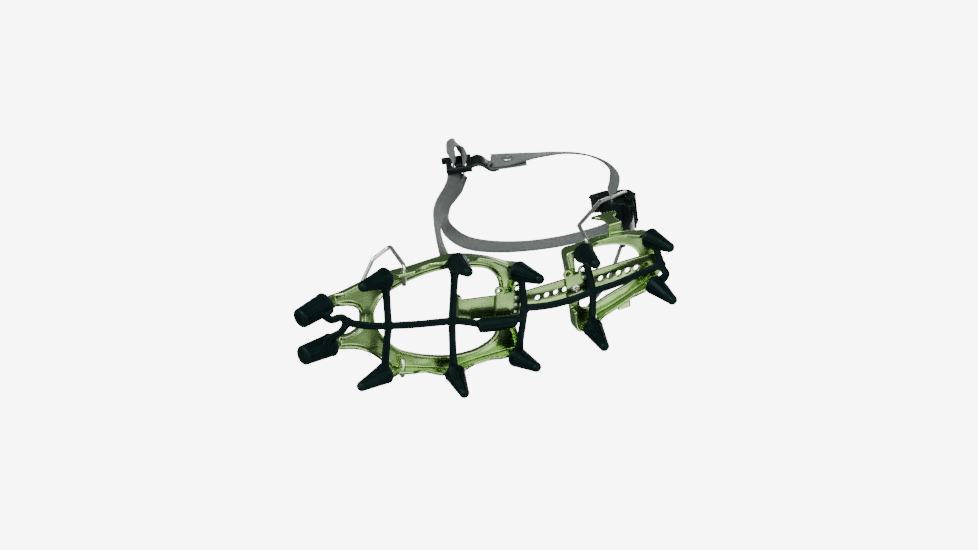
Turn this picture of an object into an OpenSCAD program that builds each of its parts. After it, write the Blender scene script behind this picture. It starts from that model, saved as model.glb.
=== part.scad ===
// Step-in crampon with rubber point protectors.
// +Z is the boot side and the points hang down. +X is the toe, +Y the buckle side.
// The origin is on the boot plane, at the middle of the front frame's rear bridge.

/* [Frames] */
// Thickness of the frames' top plates and side flanges
sheet = 3; // [2.5:0.5:4]
// Depth of the side flanges where a point grows out of them
flange = 12.5; // [11:0.5:14]
// Depth of the lip round the front opening
lip = 5; // [3:0.5:6]

/* [Linking bar] */
// Width of the linking bar
bar_w = 18; // [16:0.5:19]
// Thickness of the linking bar
bar_t = 3; // [2:0.5:3]
// Sideways bend of the bar behind the front keeper, in degrees
bar_bend = 10.5; // [0:0.5:12]
// Distance between two adjustment holes
hole_pitch = 8; // [7:0.5:10]
// Radius of the adjustment holes
hole_r = 2.4; // [1.5:0.1:2.8]

/* [Wire bails] */
// Radius of the toe and heel wires
wire_r = 1.7; // [1.5:0.1:1.8]
// Height of the toe bail over the boot plane
toe_h = 40; // [32:1:46]
// Height of the heel bail's cross wire over the boot plane
heel_h = 101; // [90:1:105]

/* [Protectors] */
// Width of the rubber straps between the caps
strap_w = 5.4; // [4:0.2:7]
// Thickness of the rubber straps
strap_t = 3.2; // [2.5:0.1:4]
// Height of the straps' middle under the boot plane
strap_z = -15; // [-16:0.5:-14]

/* [Ankle strap] */
// Width of the webbing
web_w = 20; // [18:0.5:21]
// Thickness of the webbing
web_t = 1.6; // [1.2:0.1:2]
// Forward rise of the ankle loop, in degrees
loop_rise = 17; // [10:1:20]

/* [Hidden] */
$fn = 48;

// The ring's middle lies this far in front of the origin
ring_x = 28;
// Where the bar bends, measured from the ring's middle
bend_at = [-40, 3, 0];
bar_top = -sheet - 0.4;
bar_low = bar_top - bar_t;
// Pivots of the two bails: the toe's from the ring's middle, the heel's from the bend
pivot_z = -5.6;
toe_x = 60;
toe_pivot_z = -8;
heel_x = -61.5;
lever_pivot = [-144, 0, heel_h];
slot_at = [-132, 0, heel_h + 6];
bore_r = wire_r + 0.05;
gap = 0.3;

GREEN = [0.52, 0.66, 0.35];
STEEL = [0.78, 0.78, 0.76];
RUBBER = [0.06, 0.09, 0.09];
WEBBING = [0.45, 0.46, 0.46];
PLASTIC = [0.08, 0.10, 0.10];

// Points, row by row: [base, tip] of the +Y one, then of the -Y one. The two sides differ a little,
// as on a crampon made for one foot.
row1 = [[[121, 22.5, -5.5], [145, 18.2, -18]], [[117, -12.3, -6], [143.5, -12.5, -18]]];
row2 = [[[75, 42.3, -12.8], [100, 43.2, -27]], [[74.2, -41.2, -12.8], [101.2, -43.5, -27]]];
row3 = [[[19, 50, -13], [19, 53.5, -41.5]], [[18.7, -50, -13], [19, -56.5, -41.5]]];
row4 = [[[-34, 36.6, -13], [-43.3, 40, -41.5]], [[-36, -39.9, -13], [-44.8, -38.3, -41.5]]];
row5 = [[[-54, 33.4, -13.5], [-52.6, 36.2, -44.5]], [[-53.5, -39, -13.5], [-51, -43.5, -44.5]]];
row6 = [[[-115, 27.4, -13], [-122.5, 26.6, -40]], [[-114, -17.3, -13], [-119.7, -24, -40]]];
// Base and end radii of the blunt front caps and of the others
blunt = [9.3, 7.8];
tapered = [8.6, 4.2];

// ---- Curves ----

// One span of a smooth curve through the middle two of four points
function span(a, b, c, d, t) =
    0.5 * (2 * b + (c - a) * t + (2 * a - 5 * b + 4 * c - d) * t * t
    + (3 * b - a - 3 * c + d) * t * t * t);
// Smooth closed curve through the points p, with n steps between two points
function closed(p, n = 4) =
    let (m = len(p))
    [for (i = [0:m - 1], k = [0:n - 1])
        span(p[(i + m - 1) % m], p[i], p[(i + 1) % m], p[(i + 2) % m], k / n)];
// Smooth open curve through the points p
function open(p, n = 5) =
    let (m = len(p))
    concat([for (i = [0:m - 2], k = [0:n - 1])
        span(p[max(i - 1, 0)], p[i], p[i + 1], p[min(i + 2, m - 1)], k / n)], [p[m - 1]]);
// Unit left normal of the curve p at i
function left(p, i, loop) =
    let (m = len(p),
         a = loop ? p[(i + m - 1) % m] : p[max(i - 1, 0)],
         b = loop ? p[(i + 1) % m] : p[min(i + 1, m - 1)],
         u = (b - a) / norm(b - a))
    [-u[1], u[0]];
// The curve moved d to its left
function beside(p, d, loop = true) = [for (i = [0:len(p) - 1]) p[i] + d * left(p, i, loop)];
function reversed(p) = [for (i = [len(p) - 1:-1:0]) p[i]];

// Band of width w along an open curve
module band(p, w) {
    polygon(concat(beside(p, w / 2, false), reversed(beside(p, -w / 2, false))));
}

// ---- Placing ----

module from_ring() {
    translate([ring_x, 0, 0])
        children();
}

module from_bend() {
    translate([ring_x, 0, 0] + bend_at)
        rotate([0, 0, -bar_bend])
            children();
}

// The ankle loop's own plane, with its origin in the lever's slot
module in_loop() {
    from_bend()
        translate(slot_at)
            rotate([0, -loop_rise, 0])
                children();
}

module both_sides() {
    children();
    mirror([0, 1, 0])
        children();
}

// Stands its children on a, with their z axis towards b and their y axis square to the foot's length
module towards(a, b) {
    z = (b - a) / norm(b - a);
    x = cross([0, 1, 0], z) / norm(cross([0, 1, 0], z));
    y = cross(z, x);
    translate(a)
        multmatrix([[x[0], y[0], z[0], 0], [x[1], y[1], z[1], 0], [x[2], y[2], z[2], 0], [0, 0, 0, 1]])
            children();
}

module rod(a, b, r) {
    d = b - a;
    translate(a)
        rotate([0, 0, atan2(d[1], d[0])])
            rotate([0, acos(d[2] / norm(d)), 0])
                cylinder(h = norm(d), r = r, $fn = 24);
}

// Round wire through the points p; the bends are a hair fuller than the runs
module wire(p, r) {
    for (i = [0:len(p) - 2])
        rod(p[i], p[i + 1], r);
    for (i = [1:len(p) - 2])
        translate(p[i])
            sphere(r = r + 0.03, $fn = 24);
}

// The points p followed by their mirror image across y = 0
function mirrored(p) = concat(p, [for (q = reversed(p)) [q[0], -q[1], q[2]]]);

// ---- Points and caps ----

// Tooth as thick as the sheet, tapering from a to b; flat turns its width about its axis
module tooth(side, flat, root = 7) {
    long = norm(side[1] - side[0]) - 3.5;
    towards(side[0], side[1])
        rotate([0, 0, flat])
            rotate([90, 0, 0])
                linear_extrude(sheet, center = true)
                    polygon([[-6, -root], [6, -root], [6, 0], [1.6, long], [-1.6, long], [-6, 0]]);
}

// Outside of a rubber cap: a cone with a round end, or with a chamfered flat end when blunt
module cap_outside(side, r, grow = 0) {
    long = norm(side[1] - side[0]);
    flat_end = r[1] > 5;
    end = flat_end ? 2.5 : r[1];
    towards(side[0], side[1]) {
        translate([0, 0, -grow])
            cylinder(h = long - end + grow, r1 = r[0] + grow, r2 = r[1] + grow);
        translate([0, 0, long - end])
            if (flat_end)
                cylinder(h = end + grow, r1 = r[1] + grow, r2 = r[1] - end + grow);
            else
                sphere(r = r[1] + grow);
    }
}

// The cap with its pocket for the tooth
module cap(side, r, flat) {
    long = norm(side[1] - side[0]) - 3.5;
    difference() {
        cap_outside(side, r);
        towards(side[0], side[1])
            rotate([0, 0, flat])
                rotate([90, 0, 0])
                    linear_extrude(sheet + 2 * gap, center = true)
                        polygon([[-6.6, -1], [6.6, -1], [6.5, 0], [2, long + gap], [-2, long + gap], [-6.5, 0]]);
    }
}

module caps(row, r, flat) {
    for (side = row)
        cap(side, r, flat);
}

module teeth(row, flat) {
    for (side = row)
        tooth(side, flat);
}

// ---- Front section ----

ring_far = [[119.5, 18.5], [119.5, 26.5], [108, 30.5], [93, 36.5], [80, 40.5], [66, 43.5], [54, 45], [38, 48.5],
            [21, 51.3], [4, 49.5], [-12, 45.5], [-26, 40], [-38, 36.5], [-38, 26], [-33.5, 14]];
ring_near = [[-33.5, -12], [-38, -26], [-40, -39], [-28, -42], [-12, -44.5], [4, -47.5], [19, -51],
             [36, -48.5], [54, -45], [67, -43], [77, -33], [85, -26], [95, -20.5], [104, -18.5], [113.5, -17.5],
             [113.5, -8.5]];
notch = [[103, -6], [96, -1.5], [94, 8], [97.5, 16], [106, 19]];
ring_outside = closed(concat(ring_far, ring_near, notch));
ring_hole = closed([[83, 8], [80, 17], [74, 24], [62, 30.5], [50, 35], [36, 38.5], [20, 40], [4, 39],
                    [-10, 35.5], [-19, 26], [-22, 13], [-22, -10], [-18.5, -25], [-8, -33], [4, -36.5],
                    [20, -37.5], [36, -35], [50, -31], [62, -25.5], [72, -16], [80, -4]]);

// Lower edge of the front flanges, seen from the side
flange_side = [[114, 1], [114, -3], [108, -6], [96, -6], [86, -4.6], [77.6, -4.6], [73, -flange], [53, -flange], [47, -9.5],
               [40, -8.5], [31, -flange], [9, -flange], [0, -9], [-14, -9], [-24, -flange], [-31, -flange],
               [-38, -10], [-44, -10], [-44, 1]];

module front_frame() {
    color(GREEN)
        from_ring()
            difference() {
                union() {
                    translate([0, 0, -sheet])
                        linear_extrude(sheet)
                            difference() {
                                polygon(ring_outside);
                                polygon(ring_hole);
                            }
                    intersection() {
                        translate([0, 0, -flange - 2])
                            linear_extrude(flange + 1)
                                difference() {
                                    polygon(ring_outside);
                                    polygon(beside(ring_outside, sheet));
                                    // The bar runs out between the flanges
                                    translate([-45, -13.5])
                                        square([20, 36]);
                                }
                        translate([0, 60, 0])
                            rotate([90, 0, 0])
                                linear_extrude(120)
                                    polygon(flange_side);
                    }
                    translate([0, 0, -lip])
                        linear_extrude(lip - 1)
                            difference() {
                                polygon(beside(ring_hole, -2));
                                polygon(ring_hole);
                                translate([-45, -12.5])
                                    square([40, 31]);
                            }
                    teeth(row1, 90);
                    teeth(row2, 0);
                    teeth(row3, 0);
                    teeth(row4, 0);
                }
                translate([toe_x, 60, toe_pivot_z])
                    rotate([90, 0, 0])
                        cylinder(h = 120, r = bore_r, $fn = 24);
            }
}

// Bracket under the bar: floor, two walls and curled ears. Local x runs along the bar.
module keeper(long, wide) {
    low = bar_low - gap - 2.2;
    difference() {
        union() {
            translate([-long / 2, -wide / 2, low])
                cube([long, wide, 2.2]);
            for (side = [-1, 1])
                translate([-long / 2 + 5, side * (wide / 2 - 1.25) - 1.25, low])
                    cube([long - 10, 2.5, -sheet - low]);
            for (end = [-1, 1])
                translate([end * (long / 2 - 3), wide / 2 + 2, low])
                    cylinder(h = 2.2, r = 4.2, $fn = 32);
        }
        for (end = [-1, 1])
            translate([end * (long / 2 - 3), wide / 2 + 2.6, low - 1])
                cylinder(h = 5, r = 1.8, $fn = 24);
    }
}

keeper_wide = bar_w + 5.6;
keeper_low = bar_low - gap - 2.2;

module front_keeper() {
    color(GREEN)
        from_ring()
            translate([-27, bend_at[1], 0])
                keeper(21, keeper_wide);
}

// Dome-headed rivet hanging from a keeper's floor
module rivet() {
    translate([0, 0, keeper_low - 0.5])
        cylinder(h = 0.5, r = 2, $fn = 24);
    translate([0, 0, keeper_low - 1.2])
        cylinder(h = 0.7, r1 = 1, r2 = 2, $fn = 24);
}

module front_rivets() {
    color(STEEL)
        from_ring()
            for (y = [-5, 1.5, 8])
                translate([-34, bend_at[1] - 1.5 + y, 0])
                    rivet();
}

// Length of the bar in front of its bend, and behind it to the middle of its round end
bar_front = 52;
bar_rear = 118;
// Outline of the bar from its bend, going round by the rear end
mitre = bar_w / 2 * tan(bar_bend / 2);
bar_tail = [for (a = [90:12:270]) [-bar_rear, 0] + bar_w / 2 * [cos(a), sin(a)]];
bar_outline = concat([[bar_front, -bar_w / 2], [bar_front, bar_w / 2], [mitre, bar_w / 2]],
                     [for (q = bar_tail) [q[0] * cos(bar_bend) + q[1] * sin(bar_bend),
                                          q[1] * cos(bar_bend) - q[0] * sin(bar_bend)]],
                     [[-mitre, -bar_w / 2]]);

// Flat bar, bent sideways once, with an end stop and a row of adjustment holes
module linking_bar() {
    color(GREEN)
        from_ring()
            translate(bend_at) {
                translate([0, 0, bar_low])
                    linear_extrude(bar_t)
                        difference() {
                            polygon(bar_outline);
                            rotate(-bar_bend)
                                for (k = [0:12])
                                    translate([-14 - hole_pitch * k, 0])
                                        circle(r = hole_r, $fn = 32);
                        }
                translate([bar_front - 0.5, -bar_w / 2 - 1, bar_low])
                    cube([3, bar_w + 4, 6.5]);
            }
}

module front_caps(row, r, flat) {
    color(RUBBER)
        from_ring()
            caps(row, r, flat);
}

module strap_run(p) {
    translate([0, 0, strap_z - strap_t / 2])
        linear_extrude(strap_t)
            band(p, strap_w);
}

// Where the front straps cross, on the centre spine
fork = [107.5, 10];
cross2 = [74.5, 2.5];
cross3 = [22.5, -0.5];
cross4 = [-39, 2];
pad_front = [2, -6];
pad_rear = [-33.6, -7];

module front_net() {
    color(RUBBER)
        from_ring()
            difference() {
                union() {
                    strap_run(open([fork, [92, 5], cross2, [50, 0.5], cross3, [12, -2.5], pad_front]));
                    strap_run(open([pad_rear, [-37, -4], cross4]));
                    strap_run(open([fork, [115, 13], [124, 20]]));
                    strap_run(open([fork, [112, 2], [118, -10]]));
                    strap_run([[77, 38], cross2]);
                    strap_run([cross2, [78, -38]]);
                    strap_run([[21, 45], cross3]);
                    strap_run([cross3, [20, -45]]);
                    strap_run([[-34, 33], cross4]);
                    strap_run(open([cross4, [-37.5, -15], [-35, -36]]));
                    for (c = [fork, cross2, cross3, cross4])
                        translate([c[0], c[1], strap_z - strap_t / 2])
                            cylinder(h = strap_t, r = strap_w * 0.62, $fn = 32);
                }
                for (side = row1)
                    cap_outside(side, blunt, 0.1);
                for (side = concat(row2, row3, row4))
                    cap_outside(side, tapered, 0.1);
            }
}

// Thick bumper in the spine, under the front keeper
module net_pad() {
    color(RUBBER)
        from_ring()
            translate([0, 0, -20])
                linear_extrude(7)
                    polygon([[1, -9], [1, -3], [-4, -1], [-31, -2.5], [-32.5, -5.5], [-32, -10],
                             [-26, -13.5], [-12, -14.5], [-1, -13.5]]);
}

module toe_bail() {
    color(STEEL)
        from_ring()
            wire(mirrored([[toe_x, 32, toe_pivot_z], [toe_x, 48.5, toe_pivot_z], [57, 45, toe_h],
                           [72, 36, toe_h - 2.4], [82.5, 16, toe_h - 5]]), wire_r);
}

// ---- Heel section ----

heel_outside = closed([[-41, 16], [-41, 33.5], [-53, 35], [-63, 35.8], [-76, 36], [-90, 34.8], [-104, 32],
                       [-116, 28.5], [-125, 18], [-127, 4], [-124.5, -12], [-115, -17.5], [-104, -22],
                       [-90, -27.5], [-76, -32], [-64, -35.3], [-54, -39.6], [-42, -37.5], [-41, -18]]);
heel_hole = closed([[-50.5, 15], [-51.5, 24], [-60, 27], [-75, 27], [-90, 23.5], [-101, 18], [-107, 9],
                    [-107, -4], [-98, -12.5], [-84, -16.5], [-72, -20], [-60, -24], [-51.5, -22], [-50.5, -14]]);
// Lower edge of the heel flanges, seen from the side
heel_side = [[-38, 1], [-38, -flange], [-62, -flange], [-69, -9.5], [-95, -8.5], [-105, -flange], [-112, -flange],
             [-120, -10.8], [-132, -10.8], [-132, 1]];
post_x = -89;

// Side post for the boot's heel: a stub out from the rail at y = a and a waisted post at y = b
module side_post(a, b) {
    translate([post_x - 6, min(a, b), -sheet])
        cube([12, abs(b - a), sheet]);
    translate([post_x, b, 0])
        rotate([90, 0, 0])
            linear_extrude(sheet, center = true)
                polygon([[-6, -sheet], [6, -sheet], [4.8, 3], [4.6, 8], [6, 13], [9.5, 16.5], [9.5, 19.5],
                         [-9.5, 19.5], [-9.5, 16.5], [-6, 13], [-4.6, 8], [-4.8, 3]]);
}

module heel_frame() {
    color(GREEN)
        from_bend()
            difference() {
                union() {
                    translate([0, 0, -sheet])
                        linear_extrude(sheet)
                            difference() {
                                polygon(heel_outside);
                                polygon(heel_hole);
                            }
                    intersection() {
                        translate([0, 0, -flange - 2])
                            linear_extrude(flange + 1)
                                difference() {
                                    polygon(heel_outside);
                                    polygon(beside(heel_outside, sheet));
                                    // The bar and its keeper pass between the flanges
                                    translate([-140, -14.2])
                                        square([110, 34.2]);
                                    translate([-44, -20])
                                        square([14, 38]);
                                }
                        translate([0, 60, 0])
                            rotate([90, 0, 0])
                                linear_extrude(120)
                                    polygon(heel_side);
                    }
                    teeth(row5, 0);
                    teeth(row6, 0);
                    side_post(33, 42.5);
                    side_post(-26, -34.6);
                }
                translate([heel_x, 60, pivot_z])
                    rotate([90, 0, 0])
                        cylinder(h = 120, r = bore_r, $fn = 24);
            }
}

screw_x = -46;
screw_r = 2.2;

module heel_keeper() {
    color(GREEN)
        from_bend()
            difference() {
                translate([-48, 0, 0])
                    keeper(19, keeper_wide);
                translate([screw_x, 0, keeper_low - 1])
                    cylinder(h = 5, r = screw_r + 0.05, $fn = 32);
            }
}

module heel_rivets() {
    color(STEEL)
        from_bend()
            for (y = [-7.5, 7.5])
                translate([-54.5, y, 0])
                    rivet();
}

// Cross-head clamping screw, its end just under the bar
module lock_screw() {
    color(STEEL)
        from_bend()
            translate([screw_x, 0, keeper_low])
                difference() {
                    union() {
                        translate([0, 0, -1.6])
                            cylinder(h = 1.6, r = 3.6, $fn = 32);
                        cylinder(h = 2.4, r = screw_r, $fn = 32);
                    }
                    for (turn = [0, 90])
                        rotate([0, 0, turn])
                            translate([-2.6, -0.5, -2])
                                cube([5.2, 1, 1.4]);
                }
}

module heel_caps(row) {
    color(RUBBER)
        from_bend()
            caps(row, tapered, 0);
}

cross5 = [-58.5, -4];
cross6 = [-120, 1];

module heel_net() {
    color(RUBBER)
        from_bend()
            difference() {
                union() {
                    strap_run(open([cross5, [-80, -3.5], [-100, -1], cross6]));
                    strap_run([[-55, 29], cross5]);
                    strap_run([cross5, [-54, -33]]);
                    strap_run(open([[-117, 25], cross6, [-124, -9], [-116, -14]]));
                    for (c = [cross5, cross6])
                        translate([c[0], c[1], strap_z - strap_t / 2])
                            cylinder(h = strap_t, r = strap_w * 0.62, $fn = 32);
                }
                for (side = concat(row5, row6))
                    cap_outside(side, tapered, 0.1);
            }
}

// The stretchy run of the spine between the two sections
module net_link() {
    color(RUBBER)
        from_bend()
            strap_run(open([[-3.6, -0.5], [-20, -4.5], [-40, -5.5], [-54.8, -4.2]]));
}

module heel_bail() {
    color(STEEL)
        from_bend()
            wire(mirrored([[heel_x, 31, pivot_z], [heel_x, 38.3, pivot_z], [-67, 38.3, 22], [-100, 37.8, 53],
                           [-144, 15.5, heel_h]]), wire_r);
}

// ---- Heel lever ----

lever_w = 23;

// Extrudes a side view across the foot
module across(w) {
    rotate([90, 0, 0])
        linear_extrude(w, center = true)
            children();
}

module webbing_slot() {
    rotate([0, -loop_rise, 0])
        cube([web_t + 2 * gap, 60, web_w + 2 * gap], center = true);
}

module lever_body() {
    color(PLASTIC)
        from_bend()
            difference() {
                across(lever_w)
                    polygon([[-126, heel_h - 6], [-127, heel_h + 1], [-124, heel_h + 16.5], [-117, heel_h + 18],
                             [-118, heel_h + 21], [-133, heel_h + 21], [-140, heel_h + 17], [-147, heel_h + 8],
                             [-148.5, heel_h], [-146, heel_h - 8], [-143, heel_h - 20], [-137, heel_h - 21],
                             [-134, heel_h - 10]]);
                translate(slot_at)
                    webbing_slot();
                translate(lever_pivot)
                    rotate([90, 0, 0])
                        cylinder(h = 60, r = bore_r, center = true, $fn = 24);
            }
}

module lever_tongue() {
    color(PLASTIC)
        from_bend()
            across(13)
                band(open([[-138, heel_h - 21.3], [-134, heel_h - 31], [-126.5, heel_h - 41], [-118, heel_h - 49],
                           [-113, heel_h - 56]]), 3.6);
}

// U-shaped pull: two arms on the body's sides and a cross bar behind it
module lever_handle() {
    color(PLASTIC)
        from_bend() {
            both_sides()
                translate([0, lever_w / 2 + 1.3, 0])
                    across(2.4)
                        polygon([[-136, heel_h + 9], [-143, heel_h + 12], [-150, heel_h + 7], [-152, heel_h - 4],
                                 [-148, heel_h - 9], [-142, heel_h - 12], [-140, heel_h - 7], [-147, heel_h - 2.5],
                                 [-146.5, heel_h + 3.5], [-140, heel_h + 4]]);
            across(lever_w + 1)
                polygon([[-151, heel_h + 5], [-149, heel_h + 6], [-149, heel_h - 4], [-151, heel_h - 6]]);
        }
}

// ---- Ankle strap ----

// Centre line of the webbing in the loop's plane: doubled end, far run, slot, near run, fold
webbing_line = open([[100, 63.5], [86, 62.5], [62, 62.5], [38, 61], [18, 56], [3, 47], [-5, 36], [-4, 25],
                     [0, 16], [0, 12.5], [0, 0], [0, -12], [1.5, -15], [8, -18.5], [24, -21.5], [50, -24],
                     [80, -23.5], [108, -19.5], [130, -12.5], [143, -2], [149, 11], [143, 28], [134, 42],
                     [126, 54], [124, 66], [121, 79], [124, 88], [130, 91], [136, 87], [136, 77],
                     [133.5, 66], [134, 56]], 4);

module ankle_webbing() {
    color(WEBBING)
        in_loop()
            translate([0, 0, -web_w / 2])
                linear_extrude(web_w)
                    band(webbing_line, web_t);
}

// Hanging tail: centre points with the turn of the webbing's width about +Z, in degrees
tail_spine = open([[-30, 55.5, 133.5], [-19, 52, 118], [-5, 49, 98], [6, 48.5, 74], [13, 48.5, 50], [18, 48.5, 28],
                   [19.5, 45, 13], [16, 35.5, 3.5]], 4);
function tail_turn(i) = let (t = i / (len(tail_spine) - 1)) 80 - 18 * t - 27 * pow(t, 4);

// Corner k of the webbing's section at spine point i
function tail_corner(i, k) =
    let (t = tail_turn(i),
         wide = [cos(t), sin(t), 0] * web_w / 2,
         thick = [-sin(t), cos(t), 0] * web_t / 2)
    tail_spine[i] + (k == 0 || k == 3 ? -1 : 1) * wide + (k < 2 ? -1 : 1) * thick;

module webbing_tail() {
    m = len(tail_spine);
    color(WEBBING)
        from_ring()
            polyhedron(
                points = [for (i = [0:m - 1], k = [0:3]) tail_corner(i, k)],
                faces = concat(
                    [[0, 2, 1], [0, 3, 2], [4 * m - 4, 4 * m - 3, 4 * m - 2], [4 * m - 4, 4 * m - 2, 4 * m - 1]],
                    [for (i = [0:m - 2], k = [0:3])
                        [4 * i + k, 4 * i + (k + 1) % 4, 4 * i + 4 + k]],
                    [for (i = [0:m - 2], k = [0:3])
                        [4 * i + 4 + k, 4 * i + (k + 1) % 4, 4 * i + 4 + (k + 1) % 4]]));
}

// Ladder-lock frame: two windows for the webbing
module buckle() {
    color(PLASTIC)
        in_loop()
            difference() {
                translate([118, 62, -14])
                    cube([22, 6, 28]);
                for (u = [124, 133.5])
                    translate([u - 1.9, 60, -web_w / 2 - gap])
                        cube([3.8, 10, web_w + 2 * gap]);
            }
}

// Lifting tab of the buckle, hooked to the doubled end of the webbing
module buckle_tab() {
    color(PLASTIC)
        in_loop()
            translate([0, 0, -11])
                linear_extrude(22)
                    band(open([[117.4, 65], [112, 66], [107, 63], [101.5, 60.5]]), 3);
}

module webbing_rivet() {
    color(STEEL)
        in_loop()
            translate([86, 62.5, 0])
                rotate([90, 0, 0]) {
                    for (side = [-1, 1])
                        translate([0, 0, side * (web_t / 2 + 0.9)])
                            cylinder(h = 1.4, r = 5, center = true, $fn = 48);
                }
}

front_frame();
front_keeper();
front_rivets();
linking_bar();
front_caps(row1, blunt, 90);  // caps_row1
front_caps(row2, tapered, 0);  // caps_row2
front_caps(row3, tapered, 0);  // caps_row3
front_caps(row4, tapered, 0);  // caps_row4
front_net();
net_pad();
toe_bail();
heel_frame();
heel_keeper();
heel_rivets();
lock_screw();
heel_caps(row5);  // caps_row5
heel_caps(row6);  // caps_row6
heel_net();
net_link();
heel_bail();
lever_body();
lever_tongue();
lever_handle();
ankle_webbing();
webbing_tail();
buckle();
buckle_tab();
webbing_rivet();
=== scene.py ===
"""Looks for the step-in crampon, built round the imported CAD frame.

Lengths are in millimetres until a mesh is made, and then in metres. +Z is the boot side.
"""

import math

import bmesh
import bpy
import numpy as np
from mathutils import Matrix, Vector


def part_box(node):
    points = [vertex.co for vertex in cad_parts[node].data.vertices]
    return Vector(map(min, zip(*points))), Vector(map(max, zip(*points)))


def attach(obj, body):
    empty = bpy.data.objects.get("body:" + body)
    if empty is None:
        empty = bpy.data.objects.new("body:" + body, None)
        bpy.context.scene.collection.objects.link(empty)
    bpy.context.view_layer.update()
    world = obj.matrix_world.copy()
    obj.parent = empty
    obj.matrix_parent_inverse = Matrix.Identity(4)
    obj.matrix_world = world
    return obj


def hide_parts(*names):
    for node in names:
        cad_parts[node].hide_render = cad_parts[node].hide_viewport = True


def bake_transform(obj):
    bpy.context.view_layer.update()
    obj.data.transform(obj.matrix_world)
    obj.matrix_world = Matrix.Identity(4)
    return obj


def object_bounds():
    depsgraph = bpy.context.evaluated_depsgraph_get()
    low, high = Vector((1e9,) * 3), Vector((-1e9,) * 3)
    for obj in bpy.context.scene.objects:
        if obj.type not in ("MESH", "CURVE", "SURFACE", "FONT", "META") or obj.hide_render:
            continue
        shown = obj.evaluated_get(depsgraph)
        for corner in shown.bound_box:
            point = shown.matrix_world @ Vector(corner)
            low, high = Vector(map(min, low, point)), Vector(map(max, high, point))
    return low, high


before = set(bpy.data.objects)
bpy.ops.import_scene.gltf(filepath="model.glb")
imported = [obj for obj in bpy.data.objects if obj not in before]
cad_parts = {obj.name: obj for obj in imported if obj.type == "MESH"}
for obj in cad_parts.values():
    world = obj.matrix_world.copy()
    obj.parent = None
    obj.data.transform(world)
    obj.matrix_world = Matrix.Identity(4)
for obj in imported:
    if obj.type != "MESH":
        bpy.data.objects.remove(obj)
cad_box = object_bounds()

MM = 0.001

# ---- Places that the CAD source fixes, in millimetres ----

RING = Vector((28, 0, 0))              # middle of the front ring
BEND = RING + Vector((-40, 3, 0))      # where the linking bar bends
BAR_BEND = math.radians(10.5)
HEEL_HEIGHT = 101                      # height of the heel bail's cross wire
SLOT = Vector((-132, 0, HEEL_HEIGHT + 6))      # the webbing's slot in the lever, from the bend
LOOP_RISE = math.radians(17)           # slope of the ankle loop's plane, from the heel to the front
WEBBING_WIDTH = 20
WEBBING_THICKNESS = 1.6
STRAP_WIDTH = 5.4                      # straps of the rubber net
STRAP_THICKNESS = 3.2
STRAP_HEIGHT = -15
WIRE_RADIUS = 1.7
UP = Vector((0, 0, 1))


def from_ring(x, y, z=STRAP_HEIGHT):
    """A point measured from the middle of the front ring."""
    return RING + Vector((x, y, z))


def from_bend(x, y, z=STRAP_HEIGHT):
    """A point measured from the bar's bend, along the heel section."""
    return BEND + Matrix.Rotation(-BAR_BEND, 3, "Z") @ Vector((x, y, z))


def bend_turned(point):
    """The inverse of from_bend."""
    return Matrix.Rotation(BAR_BEND, 3, "Z") @ (point - BEND)


def in_loop(u, v, w=0.0):
    """A point measured from the lever's slot: u and v in the ankle loop's plane, w along its normal."""
    along = u * math.cos(LOOP_RISE) - w * math.sin(LOOP_RISE)
    up = u * math.sin(LOOP_RISE) + w * math.cos(LOOP_RISE)
    return from_bend(*(SLOT + Vector((along, v, up))))


LOOP_NORMAL = (in_loop(0, 0, 1) - in_loop(0, 0, 0)).normalized()


# ---- Curves ----

LEG_SHARE = 0.28       # most of a straight leg that one rounded corner may use


def smooth(points, steps):
    """Smooth open curve through the points, with that many steps from each to the next."""
    line = []
    last = len(points) - 1
    for i in range(last):
        a, b, c, d = (points[min(max(k, 0), last)] for k in (i - 1, i, i + 1, i + 2))
        for k in range(steps):
            t = k / steps
            line.append(0.5 * (2 * b + (c - a) * t + (2 * a - 5 * b + 4 * c - d) * t ** 2
                               + (3 * b - a - 3 * c + d) * t ** 3))
    return line + [points[last].copy()]


def filleted(points, radius, steps=6):
    """The polyline with each corner rounded to about that radius, less where a leg is short."""
    line = [points[0].copy()]
    for before, corner, after in zip(points, points[1:], points[2:]):
        leg_in, leg_out = corner - before, after - corner
        u, v = leg_in.normalized(), leg_out.normalized()
        longest = LEG_SHARE * min(leg_in.length, leg_out.length)
        setback = min(radius * math.tan(u.angle(v) / 2), longest)
        start, end = corner - u * setback, corner + v * setback
        for k in range(steps + 1):
            t = k / steps
            line.append((1 - t) ** 2 * start + 2 * t * (1 - t) * corner + t ** 2 * end)
    return line + [points[-1].copy()]


def lengths_along(line):
    """Distance travelled at each point of the line."""
    total = [0.0]
    for a, b in zip(line, line[1:]):
        total.append(total[-1] + (b - a).length)
    return total


def at_share(values, share):
    """Linear interpolation in a list of values by a share from 0 to 1."""
    place = share * (len(values) - 1)
    low = min(int(place), len(values) - 2)
    return values[low] + (values[low + 1] - values[low]) * (place - low)


# ---- Meshes ----

WELD = 1e-7            # points closer than this, in metres, become one


def power(value, exponent):
    """The value's size raised to the exponent, with its sign kept."""
    return math.copysign(abs(value) ** exponent, value)


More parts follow.
